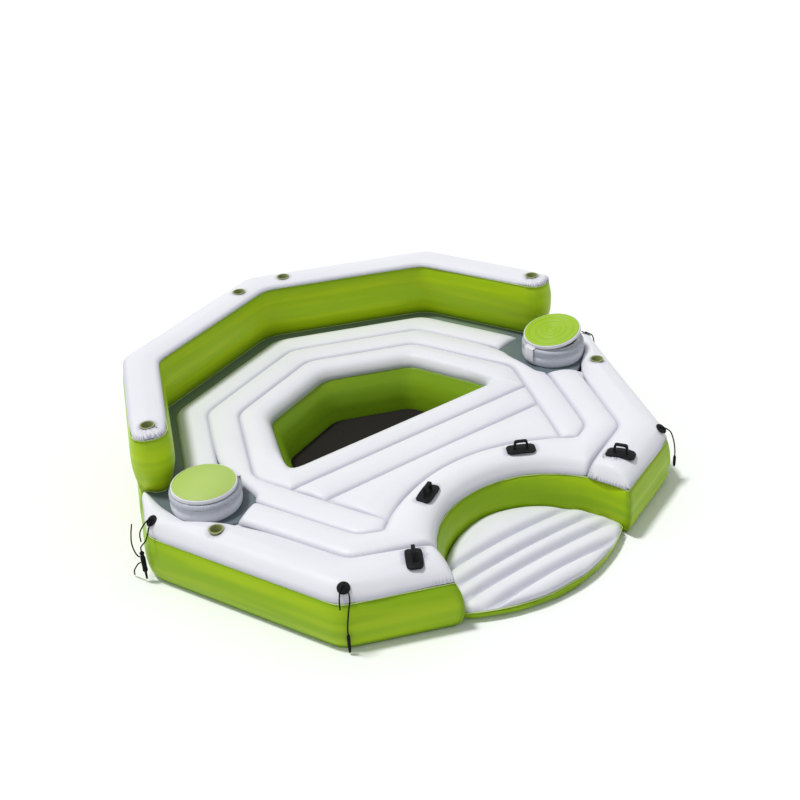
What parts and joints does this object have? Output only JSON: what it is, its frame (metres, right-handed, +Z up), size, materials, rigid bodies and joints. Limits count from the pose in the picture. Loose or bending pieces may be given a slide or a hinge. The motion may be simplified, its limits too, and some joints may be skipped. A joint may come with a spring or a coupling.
{
  "type": "inflatable_party_island",
  "caption": "Octagonal inflatable floating island with backrest, sitting well, boarding platform, lidded coolers, cup holders and grab handles",
  "frame": {"origin": "middle of the island's outline seen from above, on the underside of the hull floor", "axes": "+X to the right of someone facing the backrest from the boarding platform, +Y from the platform to the backrest, +Z up"},
  "size_m": [3.9323, 3.7126, 0.8693],
  "materials": {
    "green_vinyl": "gloss",
    "white_vinyl": "gloss",
    "dark_green_vinyl": "satin",
    "black_rubber": "satin",
    "black_cord": "matte",
    "black_mesh": "matte",
    "olive_plastic": "satin",
    "grey_plastic": "satin"
  },
  "bodies": {
    "island": {"backrest_top": "white_vinyl", "backrest_valve": "grey_plastic", "backrest_wall": "green_vinyl", "bow_tube": "white_vinyl", "cooler_collar_left": "white_vinyl", "cooler_collar_right": "white_vinyl", "cooler_hinge_flap_left": "white_vinyl", "cooler_hinge_flap_right": "white_vinyl", "cooler_pot_left": "white_vinyl", "cooler_pot_right": "white_vinyl", "cord_front_left": "black_cord", "cord_front_right": "black_cord", "cord_side_left": "black_cord", "cord_side_left_low": "black_cord", "cord_side_left_rear": "black_cord", "cord_side_right": "black_cord", "crescent_tube": "white_vinyl", "cross_tube": "white_vinyl", "cup_holder_deck_left": "olive_plastic", "cup_holder_deck_right": "olive_plastic", "cup_holder_end_left": "olive_plastic", "cup_holder_end_right": "olive_plastic", "cup_holder_rear_left": "olive_plastic", "cup_holder_rear_right": "olive_plastic", "gunwale_left": "white_vinyl", "gunwale_right": "white_vinyl", "handle_inner_left": "black_rubber", "handle_inner_right": "black_rubber", "handle_outer_left": "black_rubber", "handle_outer_right": "black_rubber", "hull_floor": "green_vinyl", "hull_side_wall": "green_vinyl", "hull_valve": "grey_plastic", "knot_side_left": "black_cord", "outer_seat_tube": "white_vinyl", "platform_body": "green_vinyl", "platform_top": "white_vinyl", "rope_end_front_left": "black_cord", "rope_end_front_right": "black_cord", "seat_tube": "white_vinyl", "tie_pad_front_left": "black_rubber", "tie_pad_front_right": "black_rubber", "tie_pad_side_left": "black_rubber", "tie_pad_side_right": "black_rubber", "valley_floor": "white_vinyl", "web_cross": "white_vinyl", "web_inner_ring": "white_vinyl", "web_outer_ring": "white_vinyl", "well_net": "black_mesh", "well_tube": "white_vinyl", "well_wall": "green_vinyl"},
    "lid_left": {"cooler_lid_left": "white_vinyl", "cooler_lid_panel_left": "green_vinyl", "cooler_lid_plug_left": "dark_green_vinyl"},
    "lid_right": {"cooler_lid_right": "white_vinyl", "cooler_lid_panel_right": "green_vinyl", "cooler_lid_plug_right": "dark_green_vinyl"},
    "hull_valve_cap": {"hull_valve_cap": "grey_plastic"},
    "backrest_valve_cap": {"backrest_valve_cap": "grey_plastic"}
  },
  "joints": [
    {"name": "cooler_lid_left_hinge", "type": "hinge", "parent": "island", "child": "lid_left", "pos_m": [-1.2555, -0.0888, 0.5419], "axis": [0, 1, 0], "range_deg": [0, 105]},
    {"name": "cooler_lid_right_hinge", "type": "hinge", "parent": "island", "child": "lid_right", "pos_m": [1.2555, -0.0888, 0.5419], "axis": [0, -1, 0], "range_deg": [-11, 94]},
    {"name": "hull_valve_cap_hinge", "type": "hinge", "parent": "island", "child": "hull_valve_cap", "pos_m": [0.6845, 1.5988, 0.1777], "axis": [0.9239, -0.3827, 0], "range_deg": [0, 110]},
    {"name": "backrest_valve_cap_hinge", "type": "hinge", "parent": "island", "child": "backrest_valve_cap", "pos_m": [0.6826, 1.5941, 0.6053], "axis": [0.9239, -0.3827, 0], "range_deg": [0, 110]}
  ]
}
